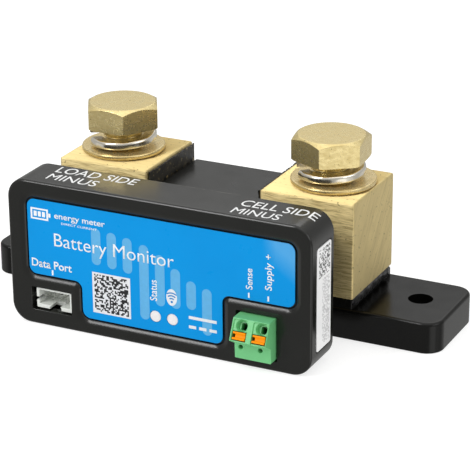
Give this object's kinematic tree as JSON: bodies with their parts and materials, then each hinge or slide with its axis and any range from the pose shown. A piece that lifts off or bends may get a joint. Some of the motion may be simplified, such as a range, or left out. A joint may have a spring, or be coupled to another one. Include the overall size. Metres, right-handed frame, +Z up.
{
  "type": "battery monitor shunt",
  "caption": "Battery monitor shunt: two brass busbar blocks with hex bolts on a black eared carrier, behind a boxed measuring board with wire terminal and data port.",
  "frame": {"origin": "on the standing plane, under the middle of the overall box", "axes": "+Z up, +X along the length from the system-side block to the battery-side block, -Y the way the measuring box faces"},
  "size_m": [0.1218, 0.0545, 0.0481],
  "materials": {
    "carrier_black": "satin moulded plastic",
    "box_black": "satin moulded plastic",
    "bridge_black": "satin moulded plastic",
    "insulator": "rough insulating coat",
    "block_brass": "brushed, machined",
    "bolt_brass": "satin brass",
    "washer_brass": "polished brass",
    "spring_steel": "bright steel",
    "screw_steel": "plated steel",
    "manganin": "bare copper alloy",
    "label_blue": "printed film",
    "label_white": "printed film",
    "board_green": "solder mask",
    "chip_black": "moulded epoxy",
    "ceramic": "fired ceramic",
    "bright_metal": "bright metal",
    "port_white": "natural nylon",
    "tinned": "tin plate",
    "terminal_green": "satin moulded plastic",
    "lever_orange": "satin moulded plastic",
    "led_lens": "clear epoxy",
    "light_pipe": "frosted acrylic"
  },
  "bodies": {
    "root": {"base_carrier": "carrier_black", "block_screw_1": "screw_steel", "block_screw_2": "screw_steel", "block_screw_3": "screw_steel", "block_screw_4": "screw_steel", "bridge_cover": "bridge_black", "circuit_board": "board_green", "clamp_spring_aux": "spring_steel", "clamp_spring_vbatt": "spring_steel", "clock_crystal": "bright_metal", "contact_bar_aux": "tinned", "contact_bar_vbatt": "tinned", "data_port_pin_1": "tinned", "data_port_pin_2": "tinned", "data_port_pin_3": "tinned", "data_port_pin_4": "tinned", "data_port_socket": "port_white", "filter_capacitor": "bright_metal", "front_cover": "box_black", "front_label": "label_blue", "insulator_battery": "insulator", "insulator_system": "insulator", "light_pipe_error": "light_pipe", "light_pipe_radio": "light_pipe", "memory_chip": "chip_black", "power_inductor": "chip_black", "radio_antenna": "ceramic", "radio_controller": "chip_black", "rear_housing": "box_black", "resistor_strip_1": "manganin", "resistor_strip_2": "manganin", "resistor_strip_3": "manganin", "sense_amplifier": "chip_black", "sense_screw_battery": "screw_steel", "sense_screw_system": "screw_steel", "sense_spacer_battery": "block_brass", "sense_spacer_system": "block_brass", "side_label": "label_white", "status_led_error": "led_lens", "status_led_radio": "led_lens", "terminal_block_battery": "block_brass", "terminal_block_system": "block_brass", "terminal_housing": "terminal_green"},
    "washers_system": {"flat_washer_system": "washer_brass", "lock_washer_system": "spring_steel"},
    "bolt_system": {"bolt_system": "bolt_brass"},
    "washers_battery": {"flat_washer_battery": "washer_brass", "lock_washer_battery": "spring_steel"},
    "bolt_battery": {"bolt_battery": "bolt_brass"},
    "lever_aux": {"lever_aux": "lever_orange"},
    "lever_vbatt": {"lever_vbatt": "lever_orange"}
  },
  "joints": [
    {"name": "washers_system_lift", "type": "slide", "parent": "root", "child": "washers_system", "axis": [0, 0, 1], "range_m": [0, 0.0135]},
    {"name": "bolt_system_turn", "type": "hinge", "parent": "washers_system", "child": "bolt_system", "pos_m": [-0.0273, 0.0118, 0.0356], "axis": [0, 0, 1], "range_deg": [0, 3240]},
    {"name": "washers_battery_lift", "type": "slide", "parent": "root", "child": "washers_battery", "axis": [0, 0, 1], "range_m": [0, 0.0135]},
    {"name": "bolt_battery_turn", "type": "hinge", "parent": "washers_battery", "child": "bolt_battery", "pos_m": [0.0291, 0.0118, 0.0356], "axis": [0, 0, 1], "range_deg": [0, 3240]},
    {"name": "lever_aux_push", "type": "slide", "parent": "root", "child": "lever_aux", "axis": [0, 0.9034, -0.4289], "range_m": [0, 0.0012], "stiffness_N_per_m": 400, "springref_m": -0.0005},
    {"name": "lever_vbatt_push", "type": "slide", "parent": "root", "child": "lever_vbatt", "axis": [0, 0.9034, -0.4289], "range_m": [0, 0.0012], "stiffness_N_per_m": 400, "springref_m": -0.0005}
  ],
  "couplings": [
    {"joint": "bolt_system_turn", "follows": "washers_system_lift", "rad_per_m": 4188.8},
    {"joint": "bolt_battery_turn", "follows": "washers_battery_lift", "rad_per_m": 4188.8}
  ]
}
